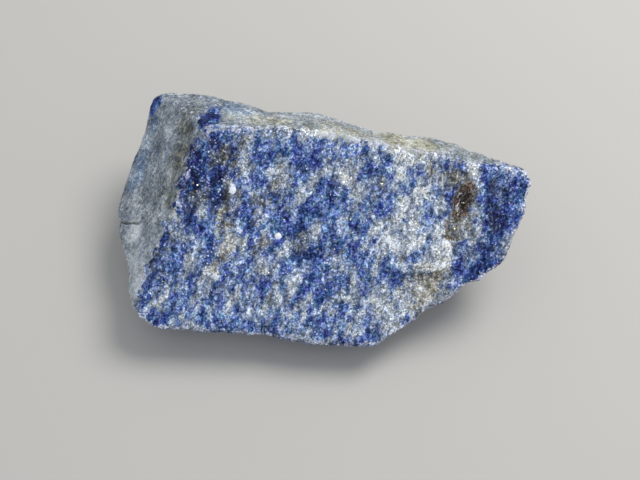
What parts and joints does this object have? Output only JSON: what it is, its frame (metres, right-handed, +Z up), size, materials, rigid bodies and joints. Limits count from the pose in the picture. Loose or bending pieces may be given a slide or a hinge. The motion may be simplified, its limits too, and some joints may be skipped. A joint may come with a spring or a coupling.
{
  "type": "rough lapis lazuli specimen",
  "caption": "Rough broken lump of lapis lazuli with one broad, flat, granular blue face sloping to the front, pale grey rind along two sides and a flat foot that it lies on.",
  "frame": {"origin": "on the flat foot that the stone lies on, below the middle of the blue face", "axes": "+Z up; +X along the stone, from the blunt end with the left rind to the pointed end; +Y backwards, up the slope of the blue face"},
  "size_m": [0.0534, 0.0335, 0.0181],
  "materials": {
    "lapis": "rough granular break: dark blue, pale blue, white and grey grains with fine gold specks, grey rind on two sides"
  },
  "bodies": {
    "root": {"stone": "lapis"}
  },
  "joints": []
}
